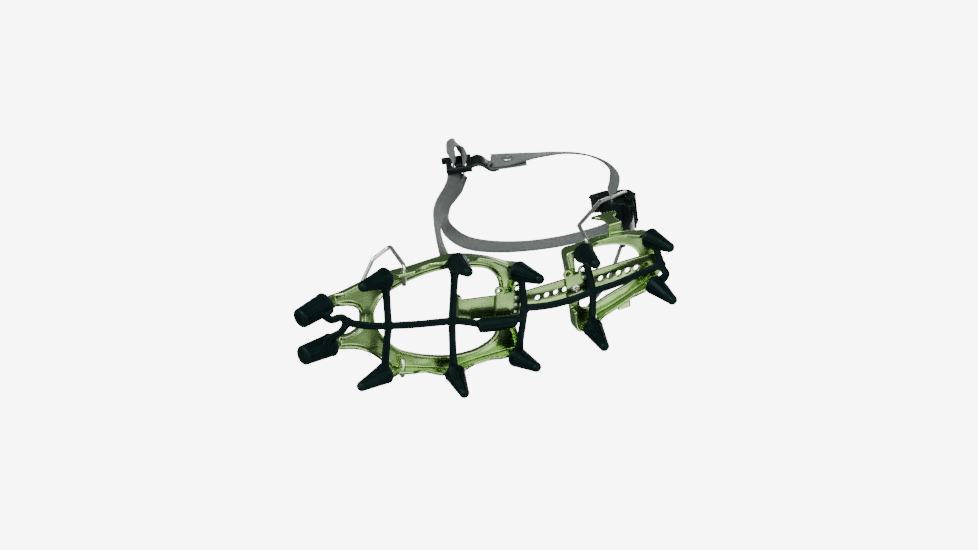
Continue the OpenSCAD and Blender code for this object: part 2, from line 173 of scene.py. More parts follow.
class Builder:
    """Collects the points, faces and flat coordinates of one mesh, in millimetres."""

    def __init__(self):
        self.points = []
        self.faces = []
        self.flat = []

    def skinned(self, first, rings, sides):
        """Faces over the rings of points that start at index first, with a flat face at either end."""
        for i in range(rings - 1):
            for k in range(sides):
                a, b = first + i * sides + k, first + i * sides + (k + 1) % sides
                self.faces.append((a, b, b + sides, a + sides))
        last = first + (rings - 1) * sides
        self.faces.append(tuple(range(first + sides - 1, first - 1, -1)))
        self.faces.append(tuple(range(last, last + sides)))
        return self

    def sweep(self, line, wide, half_width, half_height, sides, boxy=1.0):
        """Sweeps a rounded section along the line.

        wide is the direction of the width: one vector, or a list with one for each point. A half size is a
        number, or a list of values spaced evenly along the line. boxy is 1 for an ellipse and less for a
        squarer section.
        """
        first = len(self.points)
        along = lengths_along(line)
        for i, centre in enumerate(line):
            ahead = (line[min(i + 1, len(line) - 1)] - line[max(i - 1, 0)]).normalized()
            across = (wide[i] if isinstance(wide, list) else wide).copy()
            across = (across - ahead * across.dot(ahead)).normalized()
            up = ahead.cross(across)
            share = along[i] / along[-1]
            a = at_share(half_width, share) if isinstance(half_width, list) else half_width
            b = at_share(half_height, share) if isinstance(half_height, list) else half_height
            for k in range(sides):
                turn = 2 * math.pi * (k + 0.5) / sides
                x, y = power(math.cos(turn), boxy) * a, power(math.sin(turn), boxy) * b
                self.points.append(centre + across * x + up * y)
                self.flat.append((along[i], x))
        return self.skinned(first, len(line), sides)

    def lathe(self, profile, base, axis, sides, ripple=None):
        """Turns a profile of (distance along, radius) about an axis.

        ripple(angle, share of the length) is added to the radius.
        """
        first = len(self.points)
        axis = axis.normalized()
        x = axis.orthogonal().normalized()
        y = axis.cross(x)
        total = max(distance for distance, radius in profile)
        for distance, radius in profile:
            for k in range(sides):
                turn = 2 * math.pi * k / sides
                outward = x * math.cos(turn) + y * math.sin(turn)
                r = radius + (ripple(turn, distance / total) if ripple else 0)
                self.points.append(base + axis * distance + outward * r)
                self.flat.append((distance, turn * radius))
        return self.skinned(first, len(profile), sides)

    def add_node(self, name):
        """Adds a copy of a CAD node's mesh."""
        first = len(self.points)
        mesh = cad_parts[name].data
        self.points += [v.co / MM for v in mesh.vertices]
        self.flat += [(0, 0)] * len(mesh.vertices)
        self.faces += [tuple(first + i for i in p.vertices) for p in mesh.polygons]
        return self

    def made(self, name, material):
        """The object, in metres."""
        mesh = bpy.data.meshes.new(name)
        mesh.from_pydata([p * MM for p in self.points], [], self.faces)
        layer = mesh.uv_layers.new(name="flat")
        for loop in mesh.loops:
            layer.data[loop.index].uv = Vector(self.flat[loop.vertex_index]) * MM
        welded = bmesh.new()
        welded.from_mesh(mesh)
        bmesh.ops.remove_doubles(welded, verts=welded.verts, dist=WELD)
        bmesh.ops.recalc_face_normals(welded, faces=welded.faces)
        welded.to_mesh(mesh)
        welded.free()
        mesh.shade_smooth()
        mesh.materials.append(material)
        piece = bpy.data.objects.new(name, mesh)
        bpy.context.scene.collection.objects.link(piece)
        return piece


def apply_modifiers(piece):
    """The modifiers' result becomes the piece's own mesh."""
    depsgraph = bpy.context.evaluated_depsgraph_get()
    mesh = bpy.data.meshes.new_from_object(piece.evaluated_get(depsgraph))
    piece.modifiers.clear()
    piece.data = mesh
    mesh.shade_smooth()


def fused(piece, voxel, passes, keep=1.0):
    """Joins the piece's solids into one skin with rounded edges and filleted joins.

    voxel is the grid's size in millimetres, passes says how often the skin is relaxed, and keep is the
    share of faces that stays.
    """
    remesh = piece.modifiers.new("skin", "REMESH")
    remesh.mode = "VOXEL"
    remesh.voxel_size = voxel * MM
    relax = piece.modifiers.new("relax", "SMOOTH")
    relax.factor = 0.5
    relax.iterations = passes
    if keep < 1:
        thin = piece.modifiers.new("thin", "DECIMATE")
        thin.ratio = keep
    material = piece.data.materials[0]
    apply_modifiers(piece)
    piece.data.materials.clear()
    piece.data.materials.append(material)
    return piece


def stands_for(piece, body, node):
    """The piece rides on a body and replaces a CAD node."""
    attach(piece, body)
    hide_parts(node)


# ---- Materials ----

FLAT_POINTINESS = 0.505        # wear, and on the green a painted highlight, starts here
EDGE_POINTINESS = 0.56         # and is complete here


def new_node(tree, kind, inputs=None, **settings):
    """A node with its settings; each input is a value or the socket that feeds it."""
    node = tree.nodes.new(kind)
    for key, value in settings.items():
        setattr(node, key, value)
    for key, value in (inputs or {}).items():
        if isinstance(value, bpy.types.NodeSocket):
            tree.links.new(value, node.inputs[key])
        else:
            node.inputs[key].default_value = value
    return node


class Shading:
    """A material's node tree, with short calls for its nodes."""

    def __init__(self, name, **surface):
        self.material = bpy.data.materials.new(name)
        self.material.use_nodes = True
        self.tree = self.material.node_tree
        self.surface = self.tree.nodes["Principled BSDF"]
        for key, value in surface.items():
            self.surface.inputs[key.replace("_", " ")].default_value = value
        self.place = self.add("ShaderNodeTexCoord").outputs["Object"]
        self.flat = self.add("ShaderNodeTexCoord").outputs["UV"]

    def add(self, kind, inputs=None, **settings):
        """A new node in this material."""
        return new_node(self.tree, kind, inputs, **settings)

    def noise(self, scale, detail, stretch=(1, 1, 1), where=None):
        """Soft noise in object coordinates, or in the coordinates given by where."""
        inputs = {0: where or self.place, 1: stretch}
        scaled = self.add("ShaderNodeVectorMath", inputs, operation="MULTIPLY")
        inputs = {"Vector": scaled.outputs[0], "Scale": scale, "Detail": detail}
        return self.add("ShaderNodeTexNoise", inputs).outputs[0]

    def ramp(self, value, low, high, to_low=0.0, to_high=1.0):
        """The value's range from low to high, stretched to another range and cut off at its ends."""
        inputs = {"Value": value, "From Min": low, "From Max": high, "To Min": to_low, "To Max": to_high}
        return self.add("ShaderNodeMapRange", inputs).outputs[0]

    def maths(self, operation, a, b=0.0):
        """One sum, product or function of numbers."""
        return self.add("ShaderNodeMath", {0: a, 1: b}, operation=operation).outputs[0]

    def mixed(self, share, a, b):
        """Colour a where the share is 0, and b where it is 1."""
        return self.add("ShaderNodeMix", {0: share, 6: a, 7: b}, data_type="RGBA").outputs[2]

    def bump(self, height, distance, strength=1.0, on_top_of=None):
        """A normal for that height; distance is in millimetres."""
        inputs = {"Height": height, "Distance": distance * MM, "Strength": strength}
        if on_top_of is not None:
            inputs["Normal"] = on_top_of
        return self.add("ShaderNodeBump", inputs).outputs[0]

    def edges(self):
        """1 on outer edges and 0 elsewhere; they are lightened as wear, and on the anodised green also as a
        painted highlight.
        """
        pointiness = self.add("ShaderNodeNewGeometry").outputs["Pointiness"]
        return self.ramp(pointiness, FLAT_POINTINESS, EDGE_POINTINESS)

    def finish(self, colour, roughness, normal):
        """Feeds the three into the surface and gives the material."""
        self.tree.links.new(colour, self.surface.inputs["Base Color"])
        self.tree.links.new(roughness, self.surface.inputs["Roughness"])
        self.tree.links.new(normal, self.surface.inputs["Normal"])
        return self.material


def anodised_green():
    """Satin anodised alloy: a cloudy dye, edges lightened by wear and by a painted highlight, shallow
    waves, brushed lines and fine grain.
    """
    s = Shading("anodised_green", Metallic=1.0)
    clouds = s.ramp(s.noise(45, 4), 0.35, 0.65)
    dye = s.mixed(clouds, (0.28, 0.45, 0.15, 1), (0.35, 0.53, 0.21, 1))
    # Painted highlight and wear: the outer edges are mixed towards a pale green, which stands in for the
    # light that the rims catch as well as for rubbed dye.
    colour = s.mixed(s.maths("MULTIPLY", s.edges(), 0.7), dye, (0.70, 0.86, 0.48, 1))
    brushed = s.noise(60, 3, (1, 14, 14))
    roughness = s.ramp(s.maths("ADD", brushed, s.noise(30, 2)), 0.7, 1.3, 0.18, 0.31)
    waves = s.bump(s.noise(34, 1), 1.4, 0.6)
    grain = s.bump(s.noise(1500, 2), 0.03, 0.35, waves)
    return s.finish(colour, roughness, s.bump(brushed, 0.04, 0.3, grain))


def stainless():
    """Drawn stainless wire and pressed rivets, with faint die lines."""
    s = Shading("stainless", Metallic=1.0)
    stain = s.ramp(s.noise(70, 4), 0.35, 0.7)
    colour = s.mixed(stain, (0.90, 0.88, 0.85, 1), (0.76, 0.75, 0.73, 1))
    lines = s.noise(1200, 1, (0.05, 1, 1), s.flat)
    roughness = s.ramp(s.noise(160, 3), 0.3, 0.7, 0.20, 0.34)
    return s.finish(colour, roughness, s.bump(lines, 0.006, 0.1))


def black_rubber():
    """Moulded rubber: matt blue-black skin with a soft bloom and fine pores."""
    s = Shading("black_rubber", Specular_IOR_Level=0.12, Specular_Tint=(0.55, 0.95, 1.0, 1),
                Sheen_Weight=0.02, Sheen_Roughness=0.45, Sheen_Tint=(0.45, 0.85, 0.95, 1))
    bloom = s.ramp(s.noise(55, 5), 0.42, 0.72)
    colour = s.mixed(bloom, (0.0003, 0.0035, 0.0030, 1), (0.0015, 0.0070, 0.0065, 1))
    rubbed = s.mixed(s.maths("MULTIPLY", s.edges(), 0.5), colour, (0.012, 0.026, 0.027, 1))
    roughness = s.ramp(s.noise(120, 4), 0.3, 0.7, 0.34, 0.54)
    pores = s.bump(s.noise(1700, 2), 0.05, 0.35)
    return s.finish(rubbed, roughness, s.bump(s.noise(230, 3), 0.12, 0.25, pores))


def black_plastic():
    """Injection-moulded plastic: fine spark texture, paler on rubbed edges."""
    s = Shading("black_plastic", Specular_IOR_Level=0.22)
    tone = s.ramp(s.noise(90, 4), 0.35, 0.65)
    base = s.mixed(tone, (0.0006, 0.0040, 0.0036, 1), (0.0025, 0.008, 0.0075, 1))
    colour = s.mixed(s.maths("MULTIPLY", s.edges(), 0.6), base, (0.03, 0.045, 0.045, 1))
    roughness = s.ramp(s.noise(200, 3), 0.3, 0.7, 0.26, 0.42)
    spark = s.bump(s.noise(2600, 2), 0.03, 0.4)
    return s.finish(colour, roughness, s.bump(s.noise(500, 3), 0.05, 0.2, spark))


# The weave's sizes, in metres as the flat coordinates are
RIB_PITCH = 1.25 * MM
PICK_PITCH = 1.8 * MM
PICK_STEP = 0.45 * MM          # neighbouring ribs stand that far apart along the run, in either direction
PICK_WANDER = 0.4 * MM


def grey_webbing():
    """Woven polyester: lengthwise ribs crossed by picks, with painted shade in the grooves, fuzz and cloudy
    tones.
    """
    s = Shading("grey_webbing", Specular_IOR_Level=0.25, Sheen_Weight=0.35, Sheen_Roughness=0.5)
    split = s.add("ShaderNodeSeparateXYZ", {0: s.flat})
    wander = s.maths("MULTIPLY", s.noise(420, 2, where=s.flat), PICK_WANDER)
    along = s.maths("ADD", split.outputs["X"], wander)
    rib = s.maths("SINE", s.maths("MULTIPLY", split.outputs["Y"], 2 * math.pi / RIB_PITCH))
    half = s.maths("MULTIPLY", s.maths("SIGN", rib), PICK_STEP)
    pick = s.maths("SINE", s.maths("MULTIPLY", s.maths("ADD", along, half), 2 * math.pi / PICK_PITCH))
    ribs = s.maths("ABSOLUTE", rib)
    weave = s.maths("ADD", s.maths("MULTIPLY", ribs, 0.65), s.maths("MULTIPLY", pick, 0.35))
    weave_shade_mask = s.ramp(weave, -0.2, 0.9)
    clouds = s.ramp(s.noise(90, 5), 0.3, 0.7)
    light = s.mixed(clouds, (0.092, 0.114, 0.110, 1), (0.125, 0.150, 0.145, 1))
    # Painted shade: the weave's grooves are darkened, and its tops keep the yarn's cloudy tone.
    colour = s.mixed(weave_shade_mask, (0.050, 0.058, 0.057, 1), light)
    roughness = s.ramp(s.noise(300, 3), 0.3, 0.7, 0.68, 0.88)
    fuzz = s.bump(s.noise(2400, 3), 0.05, 0.4)
    return s.finish(colour, roughness, s.bump(weave, 0.22, 0.8, fuzz))


GREEN = anodised_green()
STEEL = stainless()
RUBBER = black_rubber()
PLASTIC = black_plastic()
WEBBING = grey_webbing()


# ---- Metal frames, bar and keepers ----


def soften(node, body, material, voxel, passes, keep=1.0):
    """A copy of a CAD node with edges rounded, as forging, moulding and tumbling leave them."""
    piece = Builder().add_node(node).made(node + "_skin", material)
    stands_for(fused(piece, voxel, passes, keep), body, node)


# CAD node, body, voxel, relaxing passes and share of faces kept
for node, body, voxel, passes, keep in (
    ("front_frame", "front_section", 0.55, 12, 0.5),
    ("heel_frame", "heel_section", 0.55, 12, 0.5),
    ("linking_bar", "front_section", 0.42, 3, 0.5),
    ("front_keeper", "front_section", 0.4, 3, 0.6),
    ("heel_keeper", "heel_section", 0.4, 3, 0.6),
):
    soften(node, body, GREEN, voxel, passes, keep)

for node, body in (
    ("front_rivets", "front_section"),
    ("heel_rivets", "heel_section"),
    ("lock_screw", "heel_section"),
):
    soften(node, body, STEEL, 0.15, 2)


# ---- Wire bails ----


def bent_wire(name, body, half_points, bend, place):
    """Round wire through half_points and their mirror image, in the section's own coordinates.

    bend is the corners' radius, and place turns the section's coordinates into the frame's.
    """
    points = half_points + [(x, -y, z) for x, y, z in reversed(half_points)]
    line = filleted([place(*p) for p in points], bend)
    ahead = (line[1] - line[0]).normalized()
    sides = [ahead.orthogonal()]
    for a, b in zip(line, line[1:]):
        step = (b - a).normalized()
        sides.append((sides[-1] - step * sides[-1].dot(step)).normalized())
    piece = Builder().sweep(line, sides, WIRE_RADIUS, WIRE_RADIUS, sides=20).made(name + "_wire", STEEL)
    stands_for(piece, body, name)


WIRE_BEND = 4
TOE_WIRE = [(60, 32, -8), (60, 48.5, -8), (57, 45, 40), (72, 36, 37.6), (82.5, 16, 35)]
HEEL_WIRE = [(-61.5, 31, -5.6), (-61.5, 38.3, -5.6), (-67, 38.3, 22), (-100, 37.8, 53),
             (-144, 15.5, HEEL_HEIGHT)]
bent_wire("toe_bail", "toe_bail", TOE_WIRE, WIRE_BEND, from_ring)
bent_wire("heel_bail", "heel_bail", HEEL_WIRE, WIRE_BEND, from_bend)


# ---- Rubber caps ----

CAP_RIBS = 14
POINT_REACH = 3        # a cap's end is judged wide or narrow by its points this close to it


def loose_parts(node):
    """The points of each separate solid of a CAD node, in millimetres."""
    mesh = bmesh.new()
    mesh.from_mesh(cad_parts[node].data)
    bmesh.ops.remove_doubles(mesh, verts=mesh.verts, dist=1e-6)
    left = dict.fromkeys(mesh.verts)       # a dictionary keeps its order, so the parts do too
    parts = []
    while left:
        start = next(iter(left))
        del left[start]
        part, queue = [], [start]
        while queue:
            vert = queue.pop()
            part.append(vert)
            for edge in vert.link_edges:
                other = edge.other_vert(vert)
                if other in left:
                    del left[other]
                    queue.append(other)
        parts.append([v.co / MM for v in part])
    mesh.free()
    return parts


def cap_axis(points):
    """Base point, direction and length of a cap, along its longest way from the wide end."""
    cloud = np.array([list(p) for p in points])
    middle = (cloud.min(0) + cloud.max(0)) / 2
    axis = np.linalg.svd(cloud - cloud.mean(0), full_matrices=False)[2][0]
    along = (cloud - middle) @ axis
    away = np.linalg.norm(cloud - middle - np.outer(along, axis), axis=1)
    high_end = away[along > along.max() - POINT_REACH]
    low_end = away[along < along.min() + POINT_REACH]
    if high_end.max() > low_end.max():
        axis, along = -axis, -along
    base = middle + axis * along.min()
    return Vector(base), Vector(axis), float(along.max() - along.min())


BLUNT_CORNER = 2.2
TAPER_STEPS = 16


def cap_profile(length, base_radius, end_radius, blunt):
    """Distance along and radius: a rolled mouth, a straight taper and a rounded or flat end.

    A blunt cap has a shallow dish in its flat end.
    """
    mouth = [(0.5, base_radius - 1.9), (0.0, base_radius - 1.0), (0.15, base_radius - 0.35),
             (0.9, base_radius), (1.9, base_radius - 0.05), (2.5, base_radius - 0.35)]
    mouth_end, taper_radius = mouth[-1]
    round_end = BLUNT_CORNER if blunt else end_radius
    taper_length = length - round_end - mouth_end
    body = []
    for k in range(1, TAPER_STEPS + 1):
        share = k / TAPER_STEPS
        body.append((mouth_end + taper_length * share, taper_radius + (end_radius - taper_radius) * share))
    end = []
    for degrees in range(12, 91, 13):
        turn = math.radians(degrees)
        end.append((length - round_end + round_end * math.sin(turn),
                    end_radius - round_end * (1 - math.cos(turn))))
    if blunt:
        end += [(length - 0.1, end_radius - 3), (length - 0.7, end_radius - 3.5), (length - 0.8, 1.0)]
    return mouth + body + end


def cap_ribs(blunt):
    """Shallow lengthwise grooves that fade out before the mouth and the end."""
    depth = 0.34 if blunt else 0.26

    def ripple(turn, share):
        fade = min(1, max(0, (share - 0.12) / 0.10)) * min(1, max(0, (0.9 - share) / 0.12))
        return -depth * fade * (0.5 + 0.5 * math.cos(CAP_RIBS * turn)) ** 2

    return ripple


def ribbed_caps(node, body, base_radius, end_radius, blunt=False):
    """One moulded cap for each solid of the CAD node."""
    caps = Builder()
    for points in loose_parts(node):
        base, axis, length = cap_axis(points)
        profile = cap_profile(length, base_radius, end_radius, blunt)
        caps.lathe(profile, base, axis, sides=112, ripple=cap_ribs(blunt))
    stands_for(caps.made(node + "_moulded", RUBBER), body, node)


ribbed_caps("caps_row1", "front_section", 9.3, 7.8, blunt=True)
for row in (2, 3, 4):
    ribbed_caps(f"caps_row{row}", "front_section", 8.6, 4.2)
for row in (5, 6):
    ribbed_caps(f"caps_row{row}", "heel_section", 8.6, 4.2)


# ---- Rubber net between the caps ----

FLARE = [1.75, 1.35]                                # widening of a strap's end where it meets a cap
MOULDED_EDGE = [1.0, 0.97, 1.03, 0.98, 1.02, 1.0]   # slight unevenness along a strap
HUB_RADIUS = 4.5
STRAP_FULLNESS = 0.57      # half width over the strap's width: over a half, as its section is rounded


def strap(net, points, place, flare_start=False, flare_end=True):
    """One moulded strap through the points; a flared end grows into its cap."""
    line = smooth([place(*p) for p in points], 8)
    level = []
    for i in range(len(line)):
        ahead = line[min(i + 1, len(line) - 1)] - line[max(i - 1, 0)]
        level.append(UP.cross(ahead).normalized())
    wide, high = STRAP_WIDTH * STRAP_FULLNESS, STRAP_THICKNESS / 2
    starts = FLARE if flare_start else [1.0, 1.0]
    ends = FLARE[::-1] if flare_end else [1.0, 1.0]
    shares = starts + MOULDED_EDGE + ends
    half_widths = [wide * k for k in shares]
    # A flared end thickens less than it widens
    half_heights = [high * (0.4 + 0.6 * k) for k in shares]
    net.sweep(line, level, half_widths, half_heights, sides=20, boxy=0.62)


def hub(net, place, x, y):
    """Thickened crossing of two straps."""
    radius, high = HUB_RADIUS, STRAP_THICKNESS
    profile = [(0, radius - 0.8), (0.3, radius - 0.2), (high / 2, radius), (high - 0.3, radius - 0.2),
               (high, radius - 0.8)]
    net.lathe(profile, place(x, y, STRAP_HEIGHT - high / 2), UP, sides=32)


def moulded_net(net, name, body):
    """The net's straps and hubs joined into one skin, in place of the CAD node of that name."""
    skin = fused(net.made(name + "_moulded", RUBBER), 0.5, 8, 0.6)
    stands_for(skin, body, name)


# Where the spine forks to row 1 and where it crosses the other rows' straps. Rows 5 and 6 are measured
# from the bend, and the others from the ring.
FORK = (107.5, 10)
CROSS_2 = (74.5, 2.5)
CROSS_3 = (22.5, -0.5)
CROSS_4 = (-39, 2)
CROSS_5 = (-58.5, -4)
CROSS_6 = (-120, 1)

front_net = Builder()
# The places along each strap, and whether its last end is flared
for points, flares in (
    ([FORK, (92, 5), CROSS_2, (50, 0.5), CROSS_3, (12, -2.5), (0, -6)], False),
    ([(-32, -7), (-37, -4), CROSS_4], False),
    ([FORK, (111, 14.2), (115, 14.6), (119, 13.6), (123, 16), (125, 21)], True),
    ([FORK, (111.5, 3.4), (116, 0.6), (121.5, -1.5), (124, -6), (124, -11)], True),
    ([CROSS_2, (77, 38)], True),
    ([CROSS_2, (78, -38)], True),
    ([CROSS_3, (21, 46)], True),
    ([CROSS_3, (20, -46)], True),
    ([CROSS_4, (-34, 34)], True),
    ([CROSS_4, (-37.5, -15), (-35, -37)], True),
):
    strap(front_net, points, from_ring, flare_end=flares)
for x, y in (FORK, CROSS_2, CROSS_3, CROSS_4):
    hub(front_net, from_ring, x, y)
moulded_net(front_net, "front_net", "front_section")

heel_net = Builder()
# The places along each strap, and whether its first and its last end are flared
for points, at_start, at_end in (
    ([CROSS_5, (-80, -3.5), (-100, -1), CROSS_6], False, False),
    ([CROSS_5, (-55, 30)], False, True),
    ([CROSS_5, (-54, -34)], False, True),
    ([(-117, 25), CROSS_6, (-124, -9), (-116, -14)], True, True),
):
    strap(heel_net, points, from_bend, at_start, at_end)
for x, y in (CROSS_5, CROSS_6):
    hub(heel_net, from_bend, x, y)
moulded_net(heel_net, "heel_net", "heel_section")

# The pad under the spine is crowned: its lower face rises towards its two sides
pad = Builder().add_node("net_pad").made("net_pad_moulded", RUBBER)
fused(pad, 0.6, 4)
pad_low, pad_high = (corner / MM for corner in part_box("net_pad"))
pad_middle = (pad_low + pad_high) / 2
for vert in pad.data.vertices:
    away = abs(vert.co.y / MM - pad_middle.y) / (pad_high.y - pad_low.y) * 2
    crown = 1 - 0.55 * away ** 2
    vert.co.z = (pad_high.z - (pad_high.z - vert.co.z / MM) * crown) * MM
stands_for(fused(pad, 0.6, 10, 0.6), "front_section", "net_pad")

# The link runs between the two sections; the real one stretches when the bar is drawn out, but this one is
# a fixed mesh on no body
LINK_LINE = [(0.5, -0.2), (-20, -4.5), (-40, -5.5), (-56.5, -4.1)]
link_strap = Builder()
strap(link_strap, LINK_LINE, from_bend, flare_end=False)
link = link_strap.made("net_link_moulded", RUBBER)
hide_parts("net_link")
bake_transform(link)


# ---- Ankle strap ----

# Stations of the loop: place along and across its plane, and the band's twist about its run in degrees.
# It runs from the tab back along the +y side, through the lever's slot, forward along the -y side and round
# the ankle's front to the buckle.
LOOP_LINE = [
    (100, 63.5, -13), (86, 62.5, -10), (62, 62.5, 10), (38, 61, 20), (18, 56, 20), (3, 47, 20),
    (-5, 36, 18), (-4, 25, 14), (0, 16, 6), (0, 12.5, 0), (0, 0, 0), (0, -12, 0), (1.5, -15, 0),
    (8, -18.5, 0), (24, -21.5, 0), (50, -24, 0), (80, -23.5, 0), (108, -19.5, 4), (130, -12.5, 10),
    (143, -2, 16), (149, 11, 20), (143, 28, 20), (134, 42, 18), (126, 54, 6), (124.5, 66, 0),
    (124, 75, -22), (126, 82, -24), (129.5, 85.5, -2), (133, 82.5, 18), (134, 74, 20), (133.5, 66, 0),
    (134, 56, 0),
]
FOLD_LINE = [(99.5, 63.4), (101.3, 62.6), (101.2, 61.6), (99.5, 61.3), (92, 60.8), (80, 60.5), (70, 60.6)]
FOLD_THICKNESS = 1.4
EYELET = (86, 62.5)
TAIL_LINE = [
    (-36.5, 63, 141), (-30, 55.5, 133.5), (-19, 52, 118), (-5, 49, 98), (6, 48.5, 74), (13, 48.5, 50),
    (18, 48.5, 28), (19.5, 45.5, 14.5), (17, 37.5, 7.5),
]
TAIL_STEPS = 8


def woven(band, line, wide, thickness=WEBBING_THICKNESS):
    """A run of webbing, flat with rounded selvedges."""
    band.sweep(line, wide, WEBBING_WIDTH / 2, thickness / 2, sides=28, boxy=0.34)


def twisted(line, degrees):
    """The loop's width direction at each point, turned about the run."""
    wide = []
    for i, turn in enumerate(degrees):
        ahead = (line[min(i + 1, len(line) - 1)] - line[max(i - 1, 0)]).normalized()
        turn = math.radians(turn)
        wide.append(LOOP_NORMAL * math.cos(turn) + LOOP_NORMAL.cross(ahead) * math.sin(turn))
    return wide


def tail_turn(share):
    """Direction of the tail's width about +Z, in radians, at that share of its length.

    The first quarter also turns up to 38 degrees towards the buckle's bars.
    """
    top = max(0, 1 - share / 0.25) ** 2
    return math.radians(80 - 18 * share - 27 * share ** 4 - 38 * top)


loop_line = smooth([in_loop(u, v) for u, v, twist in LOOP_LINE], 8)
station_twists = [twist for u, v, twist in LOOP_LINE]
loop_twists = [at_share(station_twists, i / (len(loop_line) - 1)) for i in range(len(loop_line))]
loop_band = Builder()
woven(loop_band, loop_line, twisted(loop_line, loop_twists))
# The end is folded back round the tab's bar and lies under the first layer, up to the eyelet and past it
fold_line = smooth([in_loop(*p) for p in FOLD_LINE], 6)
fold_twists = [-13 + 3 * i / len(fold_line) for i in range(len(fold_line))]
woven(loop_band, fold_line, twisted(fold_line, fold_twists), FOLD_THICKNESS)
loop_piece = loop_band.made("ankle_webbing_woven", WEBBING)
stands_for(loop_piece, "heel_lever", "ankle_webbing")

tail_line = smooth([from_ring(*p) for p in TAIL_LINE], TAIL_STEPS)
tail_wide = []
for i in range(len(tail_line)):
    # Up to the second station the width keeps its first direction
    turn = tail_turn(max(0, (i - TAIL_STEPS) / (len(tail_line) - 1 - TAIL_STEPS)))
    tail_wide.append(Vector((math.cos(turn), math.sin(turn), 0)))
tail_band = Builder()
woven(tail_band, tail_line, tail_wide)
tail_piece = tail_band.made("webbing_tail_woven", WEBBING)
stands_for(tail_piece, "heel_lever", "webbing_tail")


# ---- Buckle and its tab ----

TAB_LINE = [(117.4, 65), (112, 66.3), (107.5, 64.2), (104, 60.6), (100, 58.2), (94.5, 57.6)]
TAB_HALF_WIDTHS = [10.5, 11, 10.6, 10.2, 10.4, 8.2]
TAB_HALF_HEIGHTS = [1.5, 1.6, 1.5, 1.4, 1.3, 0.9]
GRIP_OFFSET = (in_loop(0, 1) - in_loop(0, 0)) * -1.4     # from the tab's middle to its inner face
GRIP_HALF = LOOP_NORMAL * 9
tab_line = smooth([in_loop(*p) for p in TAB_LINE], 8)
tab = Builder().sweep(tab_line, LOOP_NORMAL, TAB_HALF_WIDTHS, TAB_HALF_HEIGHTS, sides=24, boxy=0.4)
for share in (0.16, 0.24, 0.32, 0.40):
    middle = at_share(tab_line, share) + GRIP_OFFSET
    tab.sweep([middle - GRIP_HALF, middle + GRIP_HALF], UP, 0.7, 0.7, sides=12)
stands_for(tab.made("buckle_tab_moulded", PLASTIC), "heel_lever", "buckle_tab")

BUCKLE_ACROSS = 65                                           # place across the loop of the buckle's middle
BUCKLE_BARS = ((119.9, 2.6), (128.7, 3.5), (137.3, 2.7))     # place along the loop and half width of each
BUCKLE_RAILS = ((-12.2, 139.5), (12.2, 143.5))               # place along the normal and reach of each
buckle = Builder()
for u, half in BUCKLE_BARS:
    bar = [in_loop(u, BUCKLE_ACROSS, w) for w in (-12.6, -6, 0, 6, 12.6)]
    buckle.sweep(bar, in_loop(1, 0) - in_loop(0, 0), half, 2.7, sides=20, boxy=0.55)
for w, reach in BUCKLE_RAILS:
    rail = [in_loop(u, BUCKLE_ACROSS, w) for u in (117.6, 123, 129, 135, reach)]
    buckle.sweep(rail, LOOP_NORMAL, 1.8, 3, sides=20, boxy=0.55)
for w in (-8, -4, 0, 4, 8):
    tooth = [in_loop(u, BUCKLE_ACROSS + 3, w) for u in (126.3, 131)]
    buckle.sweep(tooth, LOOP_NORMAL, 0.7, 0.7, sides=10)
buckle_piece = fused(buckle.made("buckle_moulded", PLASTIC), 0.4, 3, 0.7)
stands_for(buckle_piece, "heel_lever", "buckle")


# ---- Heel lever ----

LIP_BACK = -134            # the lip is the part of the lever's body in front of this, from the bend
LIP_FOOT = 3               # the narrowing starts this far above the cross wire
LIP_RISE = 18              # and is complete this much higher
LIP_NARROWING = 0.3        # share of the width that is lost
LIP_SHIFT = 4.5            # the middle moves this far towards +y
# Grip ribs over the lever's front: place from the bend and height of each
LEVER_RIBS = [(-128 - 3.1 * k, HEEL_HEIGHT + 21 - max(0, k - 1) * 1.9) for k in range(6)]
RIM_LINE = [(-126.5, -4), (-127.2, 1), (-124.3, 16), (-118, 18.6), (-118.5, 20.4), (-132, 20.4)]
BOSS = [(0, 5.2), (0.5, 5.2), (1.0, 4.7), (1.2, 3.8)]

soften("lever_tongue", "heel_lever", PLASTIC, 0.4, 5, 0.6)
soften("lever_handle", "heel_lever", PLASTIC, 0.35, 3, 0.6)

lever = Builder().add_node("lever_body")
for i, point in enumerate(lever.points):
    x, y, z = bend_turned(point)
    lip = min(1, max(0, (z - HEEL_HEIGHT - LIP_FOOT) / LIP_RISE)) if x > LIP_BACK else 0
    lever.points[i] = from_bend(x, y * (1 - LIP_NARROWING * lip) + LIP_SHIFT * lip, z)
for x, z in LEVER_RIBS:
    lever.sweep([from_bend(x, -10, z), from_bend(x, 10, z)], UP, 1.0, 1.1, sides=14)
for side in (-1, 1):
    rim = smooth([from_bend(x, side * 10.4, HEEL_HEIGHT + z) for x, z in RIM_LINE], 4)
    lever.sweep(rim, Vector((0, 1, 0)), 1.2, 1.2, sides=12)
    # A round boss stands on either side, below the slot
    boss_axis = from_bend(0, side) - from_bend(0, 0)
    lever.lathe(BOSS, from_bend(-136, side * 11.2, HEEL_HEIGHT - 9), boss_axis, sides=40)
lever_piece = fused(lever.made("lever_body_moulded", PLASTIC), 0.42, 3, 0.6)
stands_for(lever_piece, "heel_lever", "lever_body")


# ---- Eyelet ----

EYELET_FACE = [
    (0, 5.0), (0.5, 5.0), (1.0, 4.6), (1.35, 3.8), (1.4, 3.0), (1.1, 2.4), (0.8, 2.1), (0.7, 0.6),
]
eyelet = Builder()
eyelet_middle = in_loop(*EYELET)
for side in (-1, 1):
    out = (in_loop(EYELET[0], EYELET[1] + side) - eyelet_middle).normalized()
    eyelet.lathe(EYELET_FACE, eyelet_middle + out * (WEBBING_THICKNESS / 2 + 0.2), out, sides=48)
stands_for(eyelet.made("webbing_rivet_pressed", STEEL), "heel_lever", "webbing_rivet")


# ---- Stage ----

